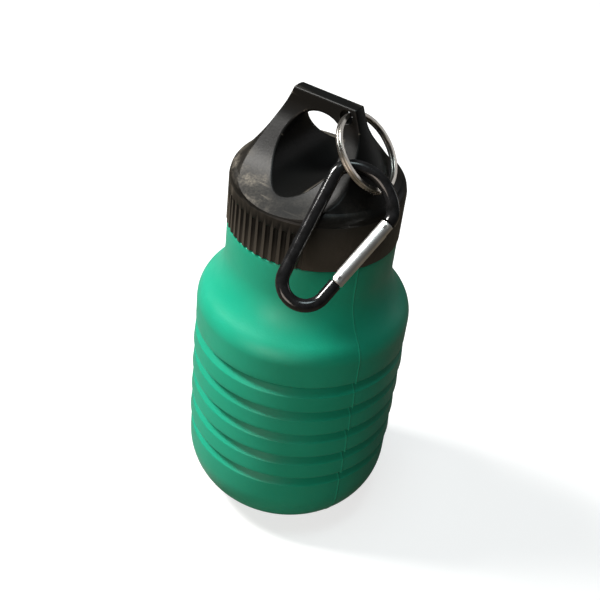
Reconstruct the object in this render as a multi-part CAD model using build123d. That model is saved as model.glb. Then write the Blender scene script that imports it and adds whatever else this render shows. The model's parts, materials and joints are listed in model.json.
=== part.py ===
"""Folding silicone water bottle, folded down, with a screw cap, a split ring and a carabiner.

Millimetres. The origin is the centre of the base's underside, +Z is up through the mouth, and +X
runs along the cap's carrying bar. The carabiner hangs from the ring at the front right, over -Y.
"""
from build123d import *
import math
import os

# ---------------------------------------------------------------- bottle body
BODY_R = 35.0             # outside of the pleat rings at their lower edge
RING_TOP_R = 34.7         # outside of a ring at its upper edge
END_R = 34.6              # outside of the base cup and of the shoulder
WALL = 2.6                # silicone wall of the cup, the rings and the shoulder
FOLDS = 5                 # folds between the base cup and the shoulder
FOLD_PITCH = 9.87         # from one folded groove to the next
FIRST_GROOVE = 31.02      # height of the lowest groove
GROOVE = 1.4              # opening of a folded groove
LOWER_EDGE = 0.5          # rounding under a ring
UPPER_EDGE = 2.2          # rounding over a ring, across its wall
UPPER_DROP = 3.3          # and down its side
BASE_ROUND = 21.5         # large rounding under the base cup
BASE_FLOOR = 3.0          # thickness of the floor
CREASE_R = 24.5           # inner edge of a fold web
WEB = 0.9                 # thickness of a fold web
WEB_GAP = 0.3             # clearance between a web and the ring above it

# ---------------------------------------------------------------- shoulder and neck
SHOULDER_TURN = 79.0      # height where the shoulder starts to turn in
SHOULDER_ROUND = 9.3      # its rounding
SHOULDER_SLOPE = 48.0     # slope between that rounding and the neck, in degrees
NECK_ROUND = 19.4         # hollow rounding into the neck
NECK_R = 26.5
NECK_TOP = 109.4

# ---------------------------------------------------------------- threaded collar
COLLAR_BOTTOM = 99.0
COLLAR_TOP = 122.0
COLLAR_BORE = 21.4
COLLAR_R = 23.5           # root of its outside thread
COLLAR_FLANGE_R = 24.6    # flange that stands on the silicone lip
COLLAR_FLANGE = 1.2
THREAD_PITCH = 4.0
THREAD_DEPTH = 1.1
THREAD_WIDTH = 1.5
THREAD_CREST = 0.45       # its crest, as a share of the width
THREAD_SUNK = 0.15        # how far its root is sunk into the wall
COLLAR_TURNS = 1.5
CAP_TURNS = 1.25

# ---------------------------------------------------------------- screw cap
CAP_R = 26.8
CAP_BOTTOM = 109.7
CAP_BORE = 25.0
CAP_CEILING = 123.85      # underside of the cap's roof
RIM_TOP = 125.2           # top of the straight skirt
FLUTES = 64               # flutes in a full circle
FLUTE_ARC = 240.0         # they cover this much of it, and leave a plain panel on +X
FLUTE_R = 0.95
FLUTE_DEPTH = 0.55
FLUTE_TOP = 121.8
BELL_TURN = [(26.6, 125.2), (26.1, 126.9), (24.7, 128.2)]      # rounded edge over the skirt
BELL = [(24.7, 128.2), (20.6, 133.5), (14.6, 143.3), (10.8, 152.1)]  # radius and height
SCOOP = [(2.3, 148.5), (6.0, 140.5), (13.0, 132.5), (27.4, 125.1)]   # depth and height
SIDE_ROUND = 0.7          # rounding of the handle's upright edges
TOP_ROUND = 0.6           # rounding round the bar's top face
RIM_ROUND = 0.8           # rounding of the finger hole's rims
CORD_RIM_ROUND = 0.3      # rounding of the small hole's rims
BAR_TOP = 152.1
BAR_HALF = 10.6           # half length of the bar's top face
BAR_THICK = 2.3           # half its thickness
HOLE_Z = 137.6
HOLE_R = 9.67             # finger hole through the handle
CORD_HOLE_R = 2.0         # small hole for the split ring
CORD_HOLE = (7.8, 149.0)  # its place along X and Z

# ---------------------------------------------------------------- cap seal
SEAL_IN = 18.5
SEAL_OUT = 24.4
SEAL_THICK = 1.8
SEAL_ROUND = 0.3

# ---------------------------------------------------------------- split ring
RING_R = 11.65            # middle of the coil
RING_CENTRE = (16.05, -1.97, 140.96)
RING_AXIS = (0.727, 0.070, 0.683)
RING_UP = (-0.680, -0.064, 0.731)      # from its middle to the small hole in the handle
WIRE_WIDE = 1.3           # across the coil
WIRE_THICK = 0.88         # along the coil's axis
COIL_PITCH = 0.93
COIL_TURNS = 2.0
COIL_START = 150.0        # where the outer end of the coil lies, in degrees

# ---------------------------------------------------------------- carabiner
CLIP_FOOT = (14.36, -35.98, 116.64)    # lower end of the straight spine
CLIP_ACROSS = (0.900, 0.323, -0.291)   # direction from the spine to the gate
CLIP_FACE = (0.434, -0.627, 0.647)     # direction that the clip's flat side faces
ROD_R = 1.95
FOOT_R = 6.4              # lower bend, round (FOOT_R, 0)
TOP_R = 12.5              # wide upper bend
TOP_CENTRE = (7.9, 23.2)
CORNER_R = 5.0            # tight bend between the spine and the upper bend
NOSE_R = 4.6              # last bend before the gate
NOSE_ANGLE = 25.0
GATE_R = 2.0
GATE_BORE = 1.35
GATE_CHAMFER = 0.25
GATE_FOOT = 5.4           # from the lower bend's end to the gate's lower end
GATE_HEAD = 0.5           # from the gate's upper end to the nose bend's end
GATE_GAP = 0.3            # between the rod's lower end and the gate
BORE_END = 5.0            # the bore stops this far below the gate's upper end
TAB = 1.3                 # thickness of the tabs that enter the gate
TAB_HALF = 1.1            # half their width
HINGE_UP = 1.6            # hinge pin above the gate's lower end
LATCH_DOWN = 1.4          # latch pin below the gate's upper end
SLOT = 1.7                # width of the gate's two slots
PIN_R = 0.6
PIN_FIT = 0.05            # running clearance round the hinge pin
SPRING_WIRE_R = 0.25
SPRING_TURNS = 9
PLUNGER = 3.0             # length of the plunger


def lathe(*edges):
    """Turn a closed outline, drawn as radius and height, about Z."""
    return revolve(Plane.XZ * make_face(list(edges)), Axis.Z)


def polar(centre, radius, degrees):
    """Point on a circle in the working plane."""
    turn = math.radians(degrees)
    return (centre[0] + radius * math.cos(turn), centre[1] + radius * math.sin(turn))


def groove_height(number):
    """Height of groove 1, the lowest, to groove FOLDS."""
    return FIRST_GROOVE + (number - 1) * FOLD_PITCH


# ---------------------------------------------------------------- silicone
def upper_edge(radius, top):
    """Quarter ellipse from a side of this radius to the flat top."""
    centre = (radius - UPPER_EDGE, top - UPPER_DROP)
    return EllipticalCenterArc(centre, UPPER_EDGE, UPPER_DROP, start_angle=0, arc_size=90)


def base_cup():
    """Cup under the lowest groove, with a large rounding down to its flat underside."""
    top = groove_height(1) - GROOVE / 2
    foot = END_R - BASE_ROUND
    inner = BASE_ROUND - WALL
    inner_foot = (foot, BASE_FLOOR)
    edges = [
        Line((0, 0), (foot, 0)),
        CenterArc((foot, BASE_ROUND), BASE_ROUND, -90, 90),
        Line((END_R, BASE_ROUND), (END_R, top - UPPER_DROP)),
        upper_edge(END_R, top),
        Line((END_R - UPPER_EDGE, top), (END_R - WALL, top)),
        Line((END_R - WALL, top), (END_R - WALL, BASE_FLOOR + inner)),
        CenterArc((foot, BASE_FLOOR + inner), inner, 0, -90),
        Line(inner_foot, (0, BASE_FLOOR)),
        Line((0, BASE_FLOOR), (0, 0)),
    ]
    return lathe(*edges)


def pleat_ring(number):
    """Outer ring between groove number and the next one up."""
    low = groove_height(number) + GROOVE / 2
    high = groove_height(number + 1) - GROOVE / 2
    inside = BODY_R - WALL
    edges = [
        Line((inside, low), (BODY_R - LOWER_EDGE, low)),
        CenterArc((BODY_R - LOWER_EDGE, low + LOWER_EDGE), LOWER_EDGE, -90, 90),
        Line((BODY_R, low + LOWER_EDGE), (RING_TOP_R, high - UPPER_DROP)),
        upper_edge(RING_TOP_R, high),
        Line((RING_TOP_R - UPPER_EDGE, high), (inside, high)),
        Line((inside, high), (inside, low)),
    ]
    return lathe(*edges)


def fold_web(number):
    """Thin V between two rings, folded inwards; its lower leg is moulded to the ring below."""
    mid = groove_height(number)
    inside = (END_R if number == 1 else BODY_R) - WALL
    above = (END_R if number == FOLDS else BODY_R) - WALL - WEB_GAP
    near = GROOVE / 2 + 0.2
    far = near + WEB
    outline = Polyline(
        (inside, mid - far),
        (inside, mid - near),
        (CREASE_R + WEB, mid),
        (above, mid + near),
        (above, mid + far),
        (CREASE_R, mid + WEB / 2),
        (CREASE_R, mid - WEB / 2),
        close=True,
    )
    return revolve(Plane.XZ * make_face(outline), Axis.Z)


def shoulder_side(offset):
    """Side of the shoulder from the last groove to the neck's top, set inwards by offset."""
    low = groove_height(FOLDS) + GROOVE / 2
    turn = SHOULDER_ROUND - offset
    hollow = NECK_ROUND + offset
    centre = (END_R - SHOULDER_ROUND, SHOULDER_TURN)
    slope_start = polar(centre, turn, 90 - SHOULDER_SLOPE)
    neck = NECK_R - offset
    rest = slope_start[0] - neck - hollow * (1 - math.sin(math.radians(SHOULDER_SLOPE)))
    rise = rest * math.tan(math.radians(SHOULDER_SLOPE))
    slope_end = (slope_start[0] - rest, slope_start[1] + rise)
    hollow_z = slope_end[1] + hollow * math.cos(math.radians(SHOULDER_SLOPE))
    hollow_centre = (neck + hollow, hollow_z)
    return [
        Line((END_R - offset, low), (END_R - offset, SHOULDER_TURN)),
        CenterArc(centre, turn, 0, 90 - SHOULDER_SLOPE),
        Line(slope_start, slope_end),
        CenterArc(hollow_centre, hollow, 270 - SHOULDER_SLOPE, SHOULDER_SLOPE - 90),
        Line((neck, hollow_z), (neck, NECK_TOP)),
    ]


def shoulder_and_neck():
    """Rounded shoulder and the neck that holds the collar."""
    low = groove_height(FOLDS) + GROOVE / 2
    outer = shoulder_side(0)
    inner = shoulder_side(WALL)
    lip = Line((NECK_R, NECK_TOP), (NECK_R - WALL, NECK_TOP))
    foot = Line((END_R, low), (END_R - WALL, low))
    return lathe(*outer, lip, *inner, foot)


# ---------------------------------------------------------------- collar and cap
def thread(root, height, turns, outwards, phase):
    """Helical ridge with sloping flanks, sunk a little into the wall that it stands on."""
    sign = 1 if outwards else -1
    start = root - sign * THREAD_SUNK
    crest = root + sign * THREAD_DEPTH
    path = Helix(THREAD_PITCH, THREAD_PITCH * turns, root)
    half = THREAD_WIDTH / 2
    top = half * THREAD_CREST
    ridge = Polyline((start, -half), (crest, -top), (crest, top), (start, half), close=True)
    swept = sweep(Plane.XZ * make_face(ridge), path, is_frenet=True)
    return Pos(0, 0, height) * Rot(0, 0, phase) * swept


def neck_collar():
    """Hard threaded insert: a tube in the neck, a flange over its lip and an outside thread."""
    tube_r = NECK_R - WALL
    outline = Polyline(
        (COLLAR_BORE, COLLAR_BOTTOM),
        (tube_r, COLLAR_BOTTOM),
        (tube_r, NECK_TOP),
        (COLLAR_FLANGE_R, NECK_TOP),
        (COLLAR_FLANGE_R, NECK_TOP + COLLAR_FLANGE),
        (COLLAR_R, NECK_TOP + COLLAR_FLANGE),
        (COLLAR_R, COLLAR_TOP - 0.6),
        (COLLAR_R - 0.6, COLLAR_TOP),
        (COLLAR_BORE, COLLAR_TOP),
        close=True,
    )
    body = revolve(Plane.XZ * make_face(outline), Axis.Z)
    ridge = thread(COLLAR_R, COLLAR_TOP - 8.6, COLLAR_TURNS, True, 0)
    return body + ridge


def cap_blank():
    """The cap's outside before its flutes and holes: a bell with a scoop at the front and back."""
    bell = lathe(
        Line((0, CAP_BOTTOM), (CAP_R, CAP_BOTTOM)),
        Line((CAP_R, CAP_BOTTOM), (CAP_R, BELL_TURN[0][1] - 0.6)),
        Line((CAP_R, BELL_TURN[0][1] - 0.6), BELL_TURN[0]),
        ThreePointArc(*BELL_TURN),
        Spline(*BELL),
        Line(BELL[-1], (BAR_HALF, BAR_TOP)),
        Line((BAR_HALF, BAR_TOP), (0, BAR_TOP)),
        Line((0, BAR_TOP), (0, CAP_BOTTOM)),
    )
    reach = SCOOP[-1]
    front = Spline(*SCOOP, tangents=[(0, -1), (1, -0.4)])
    back = Spline(*[(-y, z) for y, z in SCOOP], tangents=[(0, -1), (-1, -0.4)])
    outline = [
        front,
        back,
        Line(SCOOP[0], (BAR_THICK, BAR_TOP + 1)),
        Line((BAR_THICK, BAR_TOP + 1), (-BAR_THICK, BAR_TOP + 1)),
        Line((-BAR_THICK, BAR_TOP + 1), (-SCOOP[0][0], SCOOP[0][1])),
        Line(reach, (reach[0], CAP_BOTTOM - 1)),
        Line((reach[0], CAP_BOTTOM - 1), (-reach[0], CAP_BOTTOM - 1)),
        Line((-reach[0], CAP_BOTTOM - 1), (-reach[0], reach[1])),
    ]
    keep = extrude(Plane.YZ * make_face(outline), amount=CAP_R + 2, both=True)
    blank = bell & keep
    sides = [e for e in blank.edges().filter_by(GeomType.BSPLINE) if lowest(e) > BELL[0][1] - 0.1]
    blank = fillet(sides, SIDE_ROUND)
    return fillet([e for e in blank.edges() if lowest(e) > BAR_TOP - 0.05], TOP_ROUND)


def lowest(edge):
    """Height of an edge's lowest point."""
    return edge.bounding_box().min.Z


def from_hole(edge):
    """Distance of a point of an edge from the finger hole's axis."""
    point = edge @ 0.3
    return math.hypot(point.X, point.Z - HOLE_Z)


def flutes():
    """Upright flutes with round tops, over the back and sides of the skirt."""
    step = 360 / FLUTES
    count = int(FLUTE_ARC / step)
    first = 180 - step * (count - 1) / 2
    out = CAP_R + FLUTE_R - FLUTE_DEPTH
    height = FLUTE_TOP - FLUTE_R - CAP_BOTTOM + 1
    tool = Pos(out, 0, CAP_BOTTOM - 1) * extrude(Circle(FLUTE_R), amount=height)
    tool += Pos(out, 0, CAP_BOTTOM - 1 + height) * Sphere(FLUTE_R)
    return [Rot(0, 0, first + number * step) * tool for number in range(count)]


def screw_cap():
    """Cap with its carrying handle, finger hole, hole for the split ring and inside thread."""
    blank = cap_blank()
    across = Plane.XZ
    finger = extrude(across * Pos(0, HOLE_Z) * Circle(HOLE_R), amount=40, both=True)
    cord = extrude(across * Pos(*CORD_HOLE) * Circle(CORD_HOLE_R), amount=40, both=True)
    solid = blank - finger
    rims = [e for e in solid.edges() if abs(from_hole(e) - HOLE_R) < 0.05 and e.length > 5]
    solid = fillet(rims, RIM_ROUND) - cord
    rims = [e for e in solid.edges().filter_by(GeomType.CIRCLE) if abs(e.radius - CORD_HOLE_R) < 0.01]
    solid = fillet(rims, CORD_RIM_ROUND)
    bore = Pos(0, 0, CAP_BOTTOM) * extrude(Circle(CAP_BORE), amount=CAP_CEILING - CAP_BOTTOM)
    solid = solid - bore
    solid = solid - flutes()
    ridge = thread(CAP_BORE, COLLAR_TOP - 6.6, CAP_TURNS, False, 0)
    return solid + ridge


def cap_seal():
    """Flat rubber washer under the cap's roof."""
    washer = Circle(SEAL_OUT) - Circle(SEAL_IN)
    low = CAP_CEILING - SEAL_THICK
    return fillet((Pos(0, 0, low) * extrude(washer, amount=SEAL_THICK)).edges(), SEAL_ROUND)


# ---------------------------------------------------------------- split ring
def split_ring():
    """Two close turns of flat wire, through the small hole in the handle."""
    rise = COIL_PITCH * COIL_TURNS
    path = Helix(COIL_PITCH, rise, RING_R)
    section = RectangleRounded(WIRE_WIDE, WIRE_THICK, 0.2)
    coil = sweep(Plane.XZ * Pos(RING_R, 0) * section, path, is_frenet=True)
    place = Plane(origin=RING_CENTRE, x_dir=RING_UP, z_dir=RING_AXIS)
    return place * Rot(0, 0, COIL_START) * Pos(0, 0, -rise / 2) * coil


# ---------------------------------------------------------------- carabiner
def clip_plane():
    """Plane of the clip: Y along the spine, X from the spine to the gate."""
    return Plane(origin=CLIP_FOOT, x_dir=CLIP_ACROSS, z_dir=CLIP_FACE)


def clip_points():
    """Centres and ends of the clip's bends, in its own plane."""
    foot = (FOOT_R, 0)
    reach = TOP_R - CORNER_R
    corner_rise = math.sqrt(reach**2 - (TOP_CENTRE[0] - CORNER_R) ** 2)
    corner = (CORNER_R, TOP_CENTRE[1] + corner_rise)
    corner_end = math.degrees(math.atan2(corner_rise, corner[0] - TOP_CENTRE[0]))
    nose = polar(TOP_CENTRE, TOP_R - NOSE_R, NOSE_ANGLE)
    gap = math.dist(foot, nose)
    heading = math.degrees(math.atan2(nose[1] - foot[1], nose[0] - foot[0]))
    heading += math.degrees(math.asin((FOOT_R - NOSE_R) / gap))
    foot_end = polar(foot, FOOT_R, heading - 90)
    nose_end = polar(nose, NOSE_R, heading - 90)
    return {
        "foot": foot,
        "corner": corner,
        "corner_end": corner_end,
        "nose": nose,
        "heading": heading,
        "foot_end": foot_end,
        "nose_end": nose_end,
    }


def gate_place(points, along):
    """Local frame on the gate's line, with Y towards its upper end."""
    return Pos(*polar(points["foot_end"], along, points["heading"])) * Rot(
        0, 0, points["heading"] - 90
    )


def gate_span(points):
    """Distances along the gate's line of the gate's two ends."""
    whole = math.dist(points["foot_end"], points["nose_end"])
    return GATE_FOOT, whole - GATE_HEAD


def carabiner_body():
    """Bent rod with a flat tab at each end for the gate's hinge and latch."""
    points = clip_points()
    heading = points["heading"]
    foot_turn = heading - 90 + 180
    path = Wire(
        [
            CenterArc(points["foot"], FOOT_R, heading - 90, -foot_turn),
            Line((0, 0), (0, points["corner"][1])),
            CenterArc(points["corner"], CORNER_R, 180, points["corner_end"] - 180),
            CenterArc(TOP_CENTRE, TOP_R, points["corner_end"], NOSE_ANGLE - points["corner_end"]),
            CenterArc(points["nose"], NOSE_R, NOSE_ANGLE, heading - 90 - NOSE_ANGLE),
        ]
    )
    section = Plane(origin=path @ 0, z_dir=path % 0) * Circle(ROD_R)
    rod = sweep(section, path)
    low, high = gate_span(points)
    whole = high + GATE_HEAD
    hinge_tab = gate_place(points, 0) * hinge_end(low)
    latch_tab = gate_place(points, whole) * latch_end()
    return clip_plane() * (rod + hinge_tab + latch_tab)


def bar(width, low, high, thick):
    """Flat bar along Y, from low to high, centred on X and Z."""
    face = Pos(0, (low + high) / 2) * Rectangle(width, high - low)
    return Pos(0, 0, -thick / 2) * extrude(face, amount=thick)


def rod_along(radius, low, high):
    """Cylinder along Y, from low to high."""
    return extrude(Plane(origin=(0, low, 0), z_dir=(0, 1, 0)) * Circle(radius), amount=high - low)


def cross_pin(radius, along, length):
    """Cylinder along the clip's normal, across the gate's line."""
    return Pos(0, along, -length / 2) * extrude(Circle(radius), amount=length)


def hinge_end(low):
    """Straight end of the rod and its tab for the hinge pin; Y is 0 at the bend's end."""
    pin = low + HINGE_UP
    tab = bar(2 * TAB_HALF, low - 1.5, pin, TAB) + cross_pin(TAB_HALF, pin, TAB)
    return rod_along(ROD_R, -0.01, low - GATE_GAP) + tab - cross_pin(PIN_R + PIN_FIT, pin, 4)


def latch_end():
    """Hooked tab under the nose; Y is 0 at the nose's end."""
    pin = -GATE_HEAD - LATCH_DOWN
    tab = bar(2 * TAB_HALF, -GATE_HEAD - 2.6, 0.8, TAB)
    notch = Pos(-1, pin, 0) * Box(2, 2 * PIN_R + 0.2, 4) + cross_pin(PIN_R + 0.1, pin, 4)
    return tab - notch


def gate_in_place(solid):
    """Put a piece, drawn with Y along the gate from its lower end, where the gate is."""
    points = clip_points()
    return clip_plane() * gate_place(points, gate_span(points)[0]) * solid


def gate_length():
    """Length of the gate."""
    low, high = gate_span(clip_points())
    return high - low


def carabiner_gate():
    """Round gate, drilled from below, with a slot at each end and a hole for each pin."""
    length = gate_length()
    gate = rod_along(GATE_R, 0, length)
    gate = chamfer(gate.edges().filter_by(GeomType.CIRCLE), GATE_CHAMFER)
    gate = gate - rod_along(GATE_BORE, -1, length - BORE_END)
    gate = gate - Pos(-0.4, (HINGE_UP + 1.3) / 2, 0) * Box(3.4, HINGE_UP + 1.3, SLOT)
    gate = gate - Pos(0.4, length - 1.5, 0) * Box(3.4, 3.0, SLOT)
    corner = Pos(-1.25, HINGE_UP / 2 - 1, 0) * Box(2.5, HINGE_UP + 2, 5)
    gate = gate - (corner - cross_pin(HINGE_UP + GATE_GAP - 0.05, HINGE_UP, 5))
    for along in (HINGE_UP, length - LATCH_DOWN):
        gate = gate - cross_pin(PIN_R, along, 5)
    return gate_in_place(gate)


def gate_hinge_pin():
    """Pin pressed into the gate's lower end."""
    return gate_in_place(cross_pin(PIN_R, HINGE_UP, 2 * GATE_R - 0.3))


def gate_latch_pin():
    """Pin pressed across the gate's upper end, that seats in the nose's hook."""
    return gate_in_place(cross_pin(PIN_R, gate_length() - LATCH_DOWN, 2 * GATE_R - 0.3))


def gate_plunger():
    """Plunger that presses on the rounded end of the hinge tab."""
    low = HINGE_UP + TAB_HALF + 0.3
    return gate_in_place(rod_along(GATE_BORE - 0.1, low, low + PLUNGER))


def gate_spring():
    """Spring between the plunger and the end of the bore."""
    low = HINGE_UP + TAB_HALF + 0.3 + PLUNGER + SPRING_WIRE_R
    high = gate_length() - BORE_END - SPRING_WIRE_R
    coil_r = GATE_BORE - 0.1 - SPRING_WIRE_R
    path = Helix((high - low) / SPRING_TURNS, high - low, coil_r)
    wire = sweep(Plane.XZ * Pos(coil_r, 0) * Circle(SPRING_WIRE_R), path, is_frenet=True)
    return gate_in_place(Pos(0, low, 0) * Rot(-90, 0, 0) * wire)


PIECES = {
    "base_cup": base_cup,
    "shoulder_and_neck": shoulder_and_neck,
    "neck_collar": neck_collar,
    "screw_cap": screw_cap,
    "cap_seal": cap_seal,
    "split_ring": split_ring,
    "carabiner_body": carabiner_body,
    "carabiner_gate": carabiner_gate,
    "gate_hinge_pin": gate_hinge_pin,
    "gate_latch_pin": gate_latch_pin,
    "gate_plunger": gate_plunger,
    "gate_spring": gate_spring,
}

os.makedirs("parts", exist_ok=True)
for name, make in PIECES.items():
    export_step(make(), f"parts/{name}.step")
for number in range(1, FOLDS):
    export_step(pleat_ring(number), f"parts/pleat_ring_{number}.step")
for number in range(1, FOLDS + 1):
    export_step(fold_web(number), f"parts/fold_web_{number}.step")
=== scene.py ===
"""Folding silicone water bottle: its looks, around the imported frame. Metres, +Z up."""
import json
import math

import bmesh
import bpy
from mathutils import Matrix, Vector


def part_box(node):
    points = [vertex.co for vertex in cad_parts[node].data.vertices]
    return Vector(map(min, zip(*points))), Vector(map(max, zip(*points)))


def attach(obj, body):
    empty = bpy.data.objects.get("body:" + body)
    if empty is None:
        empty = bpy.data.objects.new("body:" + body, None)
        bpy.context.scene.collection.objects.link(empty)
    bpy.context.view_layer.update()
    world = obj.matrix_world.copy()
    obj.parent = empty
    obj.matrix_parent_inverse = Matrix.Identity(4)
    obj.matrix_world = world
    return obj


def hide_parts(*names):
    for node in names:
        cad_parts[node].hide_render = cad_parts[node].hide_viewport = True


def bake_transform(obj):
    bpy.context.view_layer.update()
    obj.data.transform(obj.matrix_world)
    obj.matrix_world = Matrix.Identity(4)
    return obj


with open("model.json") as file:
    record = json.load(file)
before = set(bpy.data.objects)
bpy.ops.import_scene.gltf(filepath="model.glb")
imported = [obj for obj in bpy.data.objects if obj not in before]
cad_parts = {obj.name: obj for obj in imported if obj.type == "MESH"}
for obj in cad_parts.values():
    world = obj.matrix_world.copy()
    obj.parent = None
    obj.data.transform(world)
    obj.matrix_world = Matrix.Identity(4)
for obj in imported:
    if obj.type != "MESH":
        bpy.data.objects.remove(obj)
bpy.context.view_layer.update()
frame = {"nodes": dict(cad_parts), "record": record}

MM = 0.001

# ---------------------------------------------------------------- view, floor and lights
VIEW_PLACE = (0.1372, -0.2308, 0.2827)
VIEW_RIGHT = (0.8131, 0.5740, 0.0973)
VIEW_UP = (-0.4138, 0.4522, 0.7901)
VIEW_AHEAD = (-0.4095, 0.6827, -0.6052)
LENS = 61.95
SENSOR = 36
FLOOR_GLOW = 0.70
FLOOR_HALF = 2.0
WORLD_GLOW = 0.07         # what the surroundings light the bottle with


def add_camera():
    """Camera at the photographed angle."""
    data = bpy.data.cameras.new("camera")
    data.lens = LENS
    data.sensor_width = SENSOR
    camera = bpy.data.objects.new("camera", data)
    back = [-c for c in VIEW_AHEAD]
    turn = Matrix((VIEW_RIGHT, VIEW_UP, back)).transposed()
    camera.matrix_world = Matrix.Translation(VIEW_PLACE) @ turn.to_4x4()
    bpy.context.collection.objects.link(camera)
    bpy.context.scene.camera = camera


def add_area(name, place, target, size, watts, colour=(1, 1, 1)):
    """Soft rectangular light that points at target."""
    data = bpy.data.lights.new(name, "AREA")
    data.shape = "RECTANGLE"
    data.size, data.size_y = size
    data.energy = watts
    data.color = colour
    light = bpy.data.objects.new(name, data)
    light.location = place
    aim = Vector(target) - Vector(place)
    light.rotation_euler = aim.to_track_quat("-Z", "Y").to_euler()
    bpy.context.collection.objects.link(light)


def at_view(right, up, ahead):
    """Point given from the bottle's middle, in the camera's directions on the ground."""
    side = Vector((VIEW_RIGHT[0], VIEW_RIGHT[1], 0)).normalized()
    away = Vector((VIEW_AHEAD[0], VIEW_AHEAD[1], 0)).normalized()
    return side * right + away * ahead + Vector((0, 0, up))


def add_lights():
    """Strong light from the upper left, cool light from above, warm fill and a pale backdrop."""
    middle = (0, 0, 0.09)
    add_area("key_left", at_view(-0.52, 0.70, 0.10), middle, (0.20, 0.24), 12.5, (1.0, 0.98, 0.95))
    add_area("overhead", at_view(-0.02, 0.95, -0.10), middle, (0.34, 0.34), 3.0, (0.78, 0.96, 1.0))
    add_area("fill_front", at_view(-0.35, 0.10, -0.60), middle, (0.4, 0.4), 3.0, (1.0, 0.86, 0.76))
    add_area("rim_right", at_view(0.60, 0.25, 0.30), middle, (0.10, 0.4), 0.25)
    world = bpy.data.worlds.new("studio")
    world.use_nodes = True
    nodes, links = world.node_tree.nodes, world.node_tree.links
    dim = nodes["Background"]
    dim.inputs["Color"].default_value = (1.0, 1.0, 1.0, 1)
    dim.inputs["Strength"].default_value = WORLD_GLOW
    backdrop = nodes.new("ShaderNodeBackground")
    backdrop.inputs["Color"].default_value = (0.90, 0.90, 0.90, 1)
    pick = nodes.new("ShaderNodeMixShader")
    links.new(nodes.new("ShaderNodeLightPath").outputs["Is Camera Ray"], pick.inputs["Fac"])
    links.new(dim.outputs["Background"], pick.inputs[1])
    links.new(backdrop.outputs["Background"], pick.inputs[2])
    links.new(pick.outputs["Shader"], nodes["World Output"].inputs["Surface"])
    bpy.context.scene.world = world
    bpy.context.scene.view_settings.view_transform = "Standard"


def add_floor():
    """Floor that looks white to the camera and throws little light back on the bottle."""
    half = FLOOR_HALF
    corners = [(-half, -half, 0), (half, -half, 0), (half, half, 0), (-half, half, 0)]
    mesh = bpy.data.meshes.new("floor")
    mesh.from_pydata(corners, [], [(0, 1, 2, 3)])
    floor = bpy.data.objects.new("floor", mesh)
    bpy.context.collection.objects.link(floor)
    material, nodes, links, shader = new_material("floor_white")
    shader.inputs["Roughness"].default_value = 0.9
    shader.inputs["Base Color"].default_value = (0.42, 0.42, 0.42, 1)
    glow = nodes.new("ShaderNodeEmission")
    glow.inputs["Color"].default_value = (1, 1, 1, 1)
    glow.inputs["Strength"].default_value = FLOOR_GLOW
    both = nodes.new("ShaderNodeAddShader")
    links.new(shader.outputs["BSDF"], both.inputs[0])
    links.new(glow.outputs["Emission"], both.inputs[1])
    dull = nodes.new("ShaderNodeBsdfDiffuse")
    dull.inputs["Color"].default_value = (0.12, 0.10, 0.075, 1)
    seen = nodes.new("ShaderNodeLightPath").outputs["Is Camera Ray"]
    pick = nodes.new("ShaderNodeMixShader")
    links.new(seen, pick.inputs["Fac"])
    links.new(dull.outputs["BSDF"], pick.inputs[1])
    links.new(both.outputs["Shader"], pick.inputs[2])
    links.new(pick.outputs["Shader"], nodes["Material Output"].inputs["Surface"])
    mesh.materials.append(material)


# ---------------------------------------------------------------- material helpers
def new_material(name):
    """Material with one Principled shader."""
    material = bpy.data.materials.new(name)
    material.use_nodes = True
    nodes = material.node_tree.nodes
    return material, nodes, material.node_tree.links, nodes["Principled BSDF"]


def object_coordinates(nodes):
    """Coordinates fixed to the object."""
    found = nodes.get("coordinates")
    if found is None:
        found = nodes.new("ShaderNodeTexCoord")
        found.name = "coordinates"
    return found.outputs["Object"]


def noise_node(nodes, links, scale, detail, stretch=(1, 1, 1)):
    """Noise value fixed to the object; a stretch below 1 draws it out along that axis."""
    mapping = nodes.new("ShaderNodeMapping")
    mapping.inputs["Scale"].default_value = stretch
    links.new(object_coordinates(nodes), mapping.inputs["Vector"])
    texture = nodes.new("ShaderNodeTexNoise")
    texture.inputs["Scale"].default_value = scale
    texture.inputs["Detail"].default_value = detail
    links.new(mapping.outputs["Vector"], texture.inputs["Vector"])
    return texture.outputs["Fac"]


def ramp_node(nodes, links, value, stops):
    """Colour from a value, through stops of position and colour."""
    ramp = nodes.new("ShaderNodeValToRGB")
    elements = ramp.color_ramp.elements
    while len(elements) < len(stops):
        elements.new(0.5)
    for element, (position, colour) in zip(elements, stops):
        element.position = position
        element.color = (*colour, 1)
    links.new(value, ramp.inputs["Fac"])
    return ramp.outputs["Color"]


def range_node(nodes, links, value, low, high, out_low, out_high):
    """Value moved from one range to another, and held inside it."""
    node = nodes.new("ShaderNodeMapRange")
    limits = {"From Min": low, "From Max": high, "To Min": out_low, "To Max": out_high}
    for socket, number in limits.items():
        node.inputs[socket].default_value = number
    links.new(value, node.inputs["Value"])
    return node.outputs["Result"]


def math_node(nodes, links, kind, first, second=None):
    """Arithmetic on one or two sockets or numbers."""
    node = nodes.new("ShaderNodeMath")
    node.operation = kind
    for socket, item in zip(node.inputs, (first, second)):
        if item is None:
            continue
        if isinstance(item, (int, float)):
            socket.default_value = item
        else:
            links.new(item, socket)
    return node.outputs[0]


def mix_node(nodes, links, share, first, second):
    """Mix of two colours; each is a socket or a colour."""
    node = nodes.new("ShaderNodeMix")
    node.data_type = "RGBA"
    links.new(share, node.inputs["Factor"])
    for socket, item in zip((node.inputs[6], node.inputs[7]), (first, second)):
        if isinstance(item, tuple):
            socket.default_value = (*item, 1)
        else:
            links.new(item, socket)
    return node.outputs[2]


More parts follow.
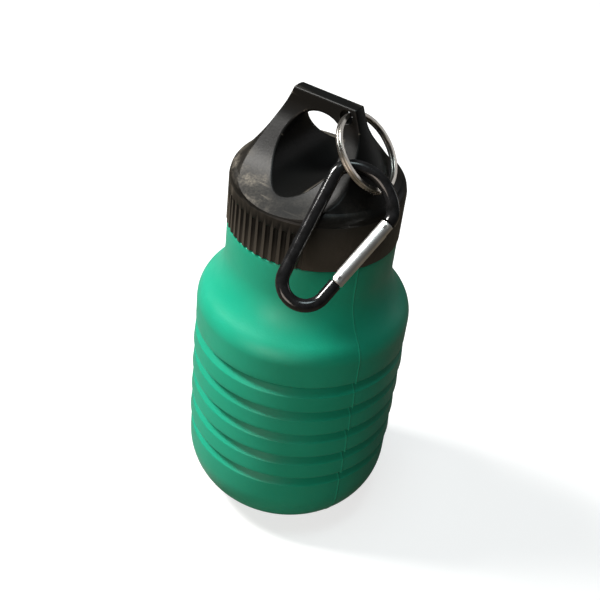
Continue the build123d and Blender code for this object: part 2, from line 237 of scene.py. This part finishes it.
def bump_node(nodes, links, shader, height, depth):
    """Bump of the given depth, in metres."""
    bump = nodes.new("ShaderNodeBump")
    bump.inputs["Strength"].default_value = 1.0
    bump.inputs["Distance"].default_value = depth
    links.new(height, bump.inputs["Height"])
    links.new(bump.outputs["Normal"], shader.inputs["Normal"])


# ---------------------------------------------------------------- materials
GREEN_DEEP = (0.003, 0.275, 0.165)
GREEN_PALE = (0.008, 0.315, 0.195)
CAP_BLACK = (0.0024, 0.0024, 0.0022)
# Pale tone of the cap's dust, also used for its painted light and painted edge highlight.
CAP_DUST_AND_PAINTED_LIGHT = (0.125, 0.110, 0.090)
HOLE_Z = 137.6 * MM       # axis of the cap's finger hole
HOLE_R = 9.67 * MM
LEDGE_TOP = 134.5 * MM    # dust fades out between these two heights
LEDGE_LOW = 128.5 * MM


def silicone():
    """Matte green silicone with faint cloudy dust and a fine moulded grain."""
    material, nodes, links, shader = new_material("green_silicone")
    cloud = noise_node(nodes, links, 45, 5)
    green = ramp_node(nodes, links, cloud, [(0.30, GREEN_DEEP), (0.72, GREEN_PALE)])
    links.new(green, shader.inputs["Base Color"])
    patch = noise_node(nodes, links, 120, 3)
    links.new(range_node(nodes, links, patch, 0.3, 0.7, 0.40, 0.52), shader.inputs["Roughness"])
    shader.inputs["Specular IOR Level"].default_value = 0.32
    shader.inputs["Subsurface Weight"].default_value = 0.08
    shader.inputs["Subsurface Scale"].default_value = 0.002
    shader.inputs["Sheen Weight"].default_value = 0.10
    shader.inputs["Sheen Roughness"].default_value = 0.4
    grain = noise_node(nodes, links, 1800, 2)
    bump_node(nodes, links, shader, grain, 0.00003)
    return material


def cap_plastic():
    """Black polypropylene: satin, dusty and scratched on its low ledges, with painted light making the
    ledges paler on the left and painted shade keeping the finger hole black, and a painted highlight on
    its edges.
    """
    material, nodes, links, shader = new_material("black_polypropylene")
    geometry = nodes.new("ShaderNodeNewGeometry")
    facing = nodes.new("ShaderNodeSeparateXYZ")
    links.new(geometry.outputs["Normal"], facing.inputs["Vector"])
    place = nodes.new("ShaderNodeSeparateXYZ")
    links.new(object_coordinates(nodes), place.inputs["Vector"])
    upward = range_node(nodes, links, facing.outputs["Z"], 0.25, 0.8, 0, 1)
    low = range_node(nodes, links, place.outputs["Z"], LEDGE_TOP, LEDGE_LOW, 0, 1)
    # The finger hole's inside gets no dust and stays black: painted shade in that recess.
    above_axis = math_node(nodes, links, "SUBTRACT", place.outputs["Z"], HOLE_Z)
    across = math_node(nodes, links, "POWER", place.outputs["X"], 2)
    rise = math_node(nodes, links, "POWER", above_axis, 2)
    from_hole = math_node(nodes, links, "SQRT", math_node(nodes, links, "ADD", across, rise))
    outside = range_node(nodes, links, from_hole, HOLE_R + 0.2 * MM, HOLE_R + 1.6 * MM, 0, 1)
    # Painted light: the ledge is made paler on the left, where the key light falls, than on the right.
    painted_lit_side = range_node(nodes, links, place.outputs["X"], 4 * MM, -7 * MM, 0.12, 1)
    ledge = math_node(nodes, links, "MULTIPLY", upward, low)
    ledge = math_node(nodes, links, "MULTIPLY", ledge, outside)
    ledge = math_node(nodes, links, "MULTIPLY", ledge, painted_lit_side)
    cloud = noise_node(nodes, links, 190, 7)
    speck = noise_node(nodes, links, 1500, 3)
    streak = noise_node(nodes, links, 700, 5, (0.12, 1, 1))
    patchy = range_node(nodes, links, cloud, 0.44, 0.60, 0.18, 1)
    specks = range_node(nodes, links, speck, 0.38, 0.62, 0.35, 1)
    lines = range_node(nodes, links, streak, 0.62, 0.66, 0, 0.8)
    dusty = math_node(nodes, links, "MULTIPLY", patchy, specks)
    ledge_dust_and_lit_side = math_node(nodes, links, "MAXIMUM", dusty, lines)
    ledge_dust_and_lit_side = math_node(nodes, links, "MULTIPLY", ledge_dust_and_lit_side, ledge)
    # Painted highlight: edges and corners made paler, as if they caught the light.
    painted_edge_highlight = range_node(nodes, links, geometry.outputs["Pointiness"], 0.54, 0.62, 0, 0.6)
    dust_and_painted_light = math_node(nodes, links, "MAXIMUM", ledge_dust_and_lit_side, painted_edge_highlight)
    links.new(mix_node(nodes, links, dust_and_painted_light, CAP_BLACK, CAP_DUST_AND_PAINTED_LIGHT), shader.inputs["Base Color"])
    links.new(range_node(nodes, links, dust_and_painted_light, 0, 1, 0.44, 0.62), shader.inputs["Roughness"])
    shader.inputs["Specular IOR Level"].default_value = 0.20
    bump_node(nodes, links, shader, speck, 0.00003)
    return material


def metal(name, colour, roughness, scale=700, depth=0.00001):
    """Metal with fine wear."""
    material, nodes, links, shader = new_material(name)
    shader.inputs["Metallic"].default_value = 1.0
    wear = noise_node(nodes, links, scale, 4)
    dark = tuple(c * 0.86 for c in colour)
    links.new(ramp_node(nodes, links, wear, [(0.3, dark), (0.7, colour)]), shader.inputs["Base Color"])
    low, high = roughness
    links.new(range_node(nodes, links, wear, 0.3, 0.7, low, high), shader.inputs["Roughness"])
    bump_node(nodes, links, shader, wear, depth)
    return material


def black_anodised():
    """Gloss black anodised aluminium with faint handling marks."""
    material, nodes, links, shader = new_material("black_anodised")
    marks = noise_node(nodes, links, 500, 5)
    black = ramp_node(nodes, links, marks, [(0.3, (0.004, 0.004, 0.004)), (0.75, (0.012, 0.012, 0.013))])
    links.new(black, shader.inputs["Base Color"])
    links.new(range_node(nodes, links, marks, 0.3, 0.7, 0.13, 0.20), shader.inputs["Roughness"])
    shader.inputs["Specular IOR Level"].default_value = 0.42
    bump_node(nodes, links, shader, marks, 0.000001)
    return material


def plain_plastic(name, colour, roughness):
    """Moulded plastic or rubber of one colour."""
    material, nodes, links, shader = new_material(name)
    cloud = noise_node(nodes, links, 300, 4)
    dark = tuple(c * 0.88 for c in colour)
    links.new(ramp_node(nodes, links, cloud, [(0.3, dark), (0.7, colour)]), shader.inputs["Base Color"])
    links.new(
        range_node(nodes, links, cloud, 0.3, 0.7, roughness - 0.06, roughness + 0.06),
        shader.inputs["Roughness"],
    )
    bump_node(nodes, links, shader, cloud, 0.00002)
    return material


# ---------------------------------------------------------------- silicone meshes
BODY_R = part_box("pleat_ring_1")[1][0]
END_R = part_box("base_cup")[1][0]
RING_TAPER = 0.35 * MM    # a ring is this much smaller at its top
LOWER_EDGE = 0.45 * MM
BASE_ROUND = 21.5 * MM
BASE_FLOOR = 3.0 * MM
SHOULDER_TURN = 79.0 * MM
SHOULDER_ROUND = 9.3 * MM
SHOULDER_SLOPE = 48       # degrees
NECK_ROUND = 19.4 * MM
NECK_R = 26.5 * MM
NECK_LIP = 0.4 * MM
AXIS_GAP = 1e-6           # keeps an outline just off the axis
FOLDS = 5
WALL = 2.6 * MM
SEAM_AZIMUTHS = (math.radians(-25.2), math.radians(154.8))
LATHE_STEPS = 240
SEAM_WIDE = 0.32 * MM
SEAM_HIGH = 0.15 * MM
SPUR = 0.7 * MM           # how far the flash hangs under an edge
CREASE_R = 24.5 * MM
WEB = 0.9 * MM
WEB_BEND = 0.1 * MM       # rounding in the fold of a web
UPPER_DROP = 2.9 * MM
BEVEL_LOW = 0.7 * MM
BEVEL_HIGH = 0.6 * MM
BEVEL_TILT = 36           # degrees the bevel faces upwards


def arc(centre, radius, start, end, steps):
    """Points of an arc, as radius and height; the angles are in degrees."""
    points = []
    for step in range(steps + 1):
        turn = math.radians(start + (end - start) * step / steps)
        points.append((centre[0] + radius * math.cos(turn), centre[1] + radius * math.sin(turn)))
    return points


def straight(start, end, steps):
    """Points between start and end, without the two ends."""
    return [
        tuple(a + (b - a) * step / steps for a, b in zip(start, end)) for step in range(1, steps)
    ]


def lathe_angles():
    """Angles round the axis, closer together at the mould's two seams."""
    angles = [math.tau * step / LATHE_STEPS for step in range(LATHE_STEPS)]
    clear = 2.2 * SEAM_WIDE / BODY_R
    kept = []
    for angle in angles:
        gaps = [abs(math.remainder(angle - seam, math.tau)) for seam in SEAM_AZIMUTHS]
        if min(gaps) > clear:
            kept.append(angle)
    for seam in SEAM_AZIMUTHS:
        for offset in (-1.6, -1.0, -0.6, -0.25, 0, 0.25, 0.6, 1.0, 1.6):
            kept.append((seam + offset * SEAM_WIDE / BODY_R) % math.tau)
    return sorted(kept)


def seam_height(angle, radius):
    """How far the surface stands proud at a seam."""
    height = 0.0
    for seam in SEAM_AZIMUTHS:
        away = abs(math.remainder(angle - seam, math.tau)) * radius / SEAM_WIDE
        height += math.exp(-(away * 1.6) ** 2)
    return SEAM_HIGH * height


def closed_faces(columns, rows):
    """Faces of a grid of vertices that closes on itself both ways."""
    faces = []
    for column in range(columns):
        start, following = column * rows, (column + 1) % columns * rows
        for row in range(rows):
            above = (row + 1) % rows
            faces.append((start + row, following + row, following + above, start + above))
    return faces


def lathe(name, outer, inner, node, seams=True, spur=False):
    """Closed turned mesh; outer carries the seams, and spur adds a scrap of flash under them."""
    outline = outer + inner
    spur_top = min(height for radius, height in outline) + SPUR if spur else -1
    angles = lathe_angles()
    vertices = []
    for angle in angles:
        for index, (radius, height) in enumerate(outline):
            proud = seam_height(angle, radius) if seams and 0 < index < len(outer) - 1 else 0
            reach = radius + proud
            drop = SPUR * proud / SEAM_HIGH if height < spur_top else 0
            vertices.append((reach * math.cos(angle), reach * math.sin(angle), height - drop))
    mesh = bpy.data.meshes.new(name)
    mesh.from_pydata(vertices, [], closed_faces(len(angles), len(outline)))
    mesh.validate()
    clean_mesh(mesh)
    piece = bpy.data.objects.new(name, mesh)
    bpy.context.collection.objects.link(piece)
    mesh.materials.append(MATERIALS["silicone"])
    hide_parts(node)
    return piece


def clean_mesh(mesh):
    """Merge doubled points on the axis, point the faces outwards and shade them smooth."""
    bm = bmesh.new()
    bm.from_mesh(mesh)
    bmesh.ops.remove_doubles(bm, verts=bm.verts, dist=1e-7)
    bmesh.ops.dissolve_degenerate(bm, dist=1e-7, edges=bm.edges)
    bmesh.ops.recalc_face_normals(bm, faces=bm.faces)
    for face in bm.faces:
        face.smooth = True
    bm.to_mesh(mesh)
    bm.free()


def upper_edge(radius, top):
    """Bevel with two roundings, from a side of this radius to the flat top."""
    tilt = math.radians(BEVEL_TILT)
    start = (radius - BEVEL_LOW, top - UPPER_DROP)
    points = arc(start, BEVEL_LOW, 0, BEVEL_TILT, 5)
    rise = UPPER_DROP - BEVEL_LOW * math.sin(tilt) - BEVEL_HIGH * (1 - math.sin(tilt))
    corner = (points[-1][0] - rise * math.tan(tilt), points[-1][1] + rise)
    points += straight(points[-1], corner, 4)
    centre = (corner[0] - BEVEL_HIGH * math.cos(tilt), corner[1] - BEVEL_HIGH * math.sin(tilt))
    return points + arc(centre, BEVEL_HIGH, BEVEL_TILT, 90, 5)


def ring_outline(low, high, top_r):
    """Outline of a pleat ring: nearly sharp under it, bevelled over it."""
    outer = arc((BODY_R - LOWER_EDGE, low + LOWER_EDGE), LOWER_EDGE, -90, 0, 5)
    outer += straight((BODY_R, low + LOWER_EDGE), (top_r, high - UPPER_DROP), 6)
    outer += upper_edge(top_r, high)
    inside = BODY_R - WALL
    inner = [(inside, high), (inside, low)]
    return outer, inner


def build_rings():
    """Four pleat rings."""
    for number in range(1, FOLDS):
        node = f"pleat_ring_{number}"
        low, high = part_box(node)[0][2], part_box(node)[1][2]
        outer, inner = ring_outline(low, high, BODY_R - RING_TAPER)
        piece = lathe(f"ring_{number}_moulded", outer, inner, node, spur=True)
        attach(piece, f"ring_{number}")


def build_base():
    """Cup under the lowest groove."""
    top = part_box("base_cup")[1][2]
    foot = END_R - BASE_ROUND
    outer = [(AXIS_GAP, 0)] + straight((0, 0), (foot, 0), 4)
    outer += arc((foot, BASE_ROUND), BASE_ROUND, -90, 0, 28)
    outer += straight((END_R, BASE_ROUND), (END_R, top - UPPER_DROP), 3)
    outer += upper_edge(END_R, top)
    small = BASE_ROUND - WALL
    inner = [(END_R - WALL, top)] + arc((foot, BASE_FLOOR + small), small, 0, -90, 10)
    inner += [(AXIS_GAP, BASE_FLOOR)]
    piece = lathe("base_moulded", outer, inner, "base_cup")
    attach(piece, "base")


def shoulder_line(offset, steps):
    """Side of the shoulder from the last groove to the top of the neck, set inwards."""
    low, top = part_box("shoulder_and_neck")[0][2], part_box("shoulder_and_neck")[1][2]
    slope = math.radians(SHOULDER_SLOPE)
    neck = NECK_R - offset
    bend_r, hollow_r = SHOULDER_ROUND - offset, NECK_ROUND + offset
    centre = (END_R - SHOULDER_ROUND, SHOULDER_TURN)
    points = arc(centre, bend_r, 0, 90 - SHOULDER_SLOPE, steps)
    start = points[-1]
    rest = start[0] - neck - hollow_r * (1 - math.sin(slope))
    end = (start[0] - rest, start[1] + rest * math.tan(slope))
    hollow_z = end[1] + hollow_r * math.cos(slope)
    centre = (neck + hollow_r, hollow_z)
    points += straight(start, end, 4)
    points += arc(centre, hollow_r, 270 - SHOULDER_SLOPE, 180, steps)
    points += straight((neck, hollow_z), (neck, top), 4)
    return low, top, neck, points


def build_shoulder():
    """Shoulder and neck."""
    low, top, neck, side = shoulder_line(0, 16)
    outer = arc((END_R - LOWER_EDGE, low + LOWER_EDGE), LOWER_EDGE, -90, 0, 5)
    outer += straight((END_R, low + LOWER_EDGE), side[0], 4) + side
    outer += arc((neck - NECK_LIP, top - NECK_LIP), NECK_LIP, 0, 90, 4)
    inner_side = shoulder_line(WALL, 6)
    inner = [(inner_side[2], top)] + inner_side[3][::-1] + [(END_R - WALL, low)]
    piece = lathe("shoulder_moulded", outer, inner, "shoulder_and_neck", spur=True)
    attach(piece, "shoulder")


def build_webs():
    """Thin V webs that join the rings."""
    for number in range(1, FOLDS + 1):
        node = f"fold_web_{number}"
        low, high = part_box(node)[0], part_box(node)[1]
        middle, far = (low[2] + high[2]) / 2, (high[2] - low[2]) / 2
        near = far - WEB
        below = (END_R if number == 1 else BODY_R) - WALL
        above = (END_R if number == FOLDS else BODY_R) - WALL
        inner_r, outer_r = CREASE_R, CREASE_R + WEB
        outer = [(below, middle - near)]
        outer += straight((below, middle - near), (outer_r, middle - WEB_BEND), 10)
        outer += arc((outer_r, middle), WEB_BEND, 270, 90, 6)
        outer += straight((outer_r, middle + WEB_BEND), (above, middle + near), 10)
        outer += [(above, middle + near)]
        inner = [(above, middle + far)]
        inner += straight((above, middle + far), (inner_r + WEB / 2, middle + WEB / 2), 10)
        inner += arc((inner_r + WEB / 2, middle), WEB / 2, 90, 270, 8)
        inner += straight((inner_r + WEB / 2, middle - WEB / 2), (below, middle - far), 10)
        inner += [(below, middle - far)]
        piece = lathe(f"web_{number}_moulded", outer, inner, node, seams=False)
        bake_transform(piece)


# ---------------------------------------------------------------- put it together
MATERIALS = {
    "silicone": silicone(),
    "cap_plastic": cap_plastic(),
    "collar_plastic": plain_plastic("natural_collar", (0.62, 0.64, 0.62), 0.42),
    "seal_rubber": plain_plastic("seal_rubber", (0.62, 0.62, 0.60), 0.6),
    "nickel": metal("bright_nickel", (0.52, 0.49, 0.45), (0.26, 0.34), 250, depth=0.000002),
    "black_anodised": black_anodised(),
    "gate_metal": metal("drawn_aluminium", (0.85, 0.84, 0.82), (0.36, 0.44), 220, depth=0.000002),
    "steel": metal("plain_steel", (0.55, 0.54, 0.52), (0.25, 0.4)),
}


def dress_nodes():
    """Give each node of the frame its material."""
    for part in frame["record"]["subparts"]:
        piece = frame["nodes"][part["node"]]
        material = MATERIALS[part["material_slot"]]
        if not piece.data.materials:
            piece.data.materials.append(material)
        for slot in piece.material_slots:
            slot.link = "OBJECT"
            slot.material = material


add_camera()
add_floor()
add_lights()
dress_nodes()
build_base()
build_rings()
build_shoulder()
build_webs()
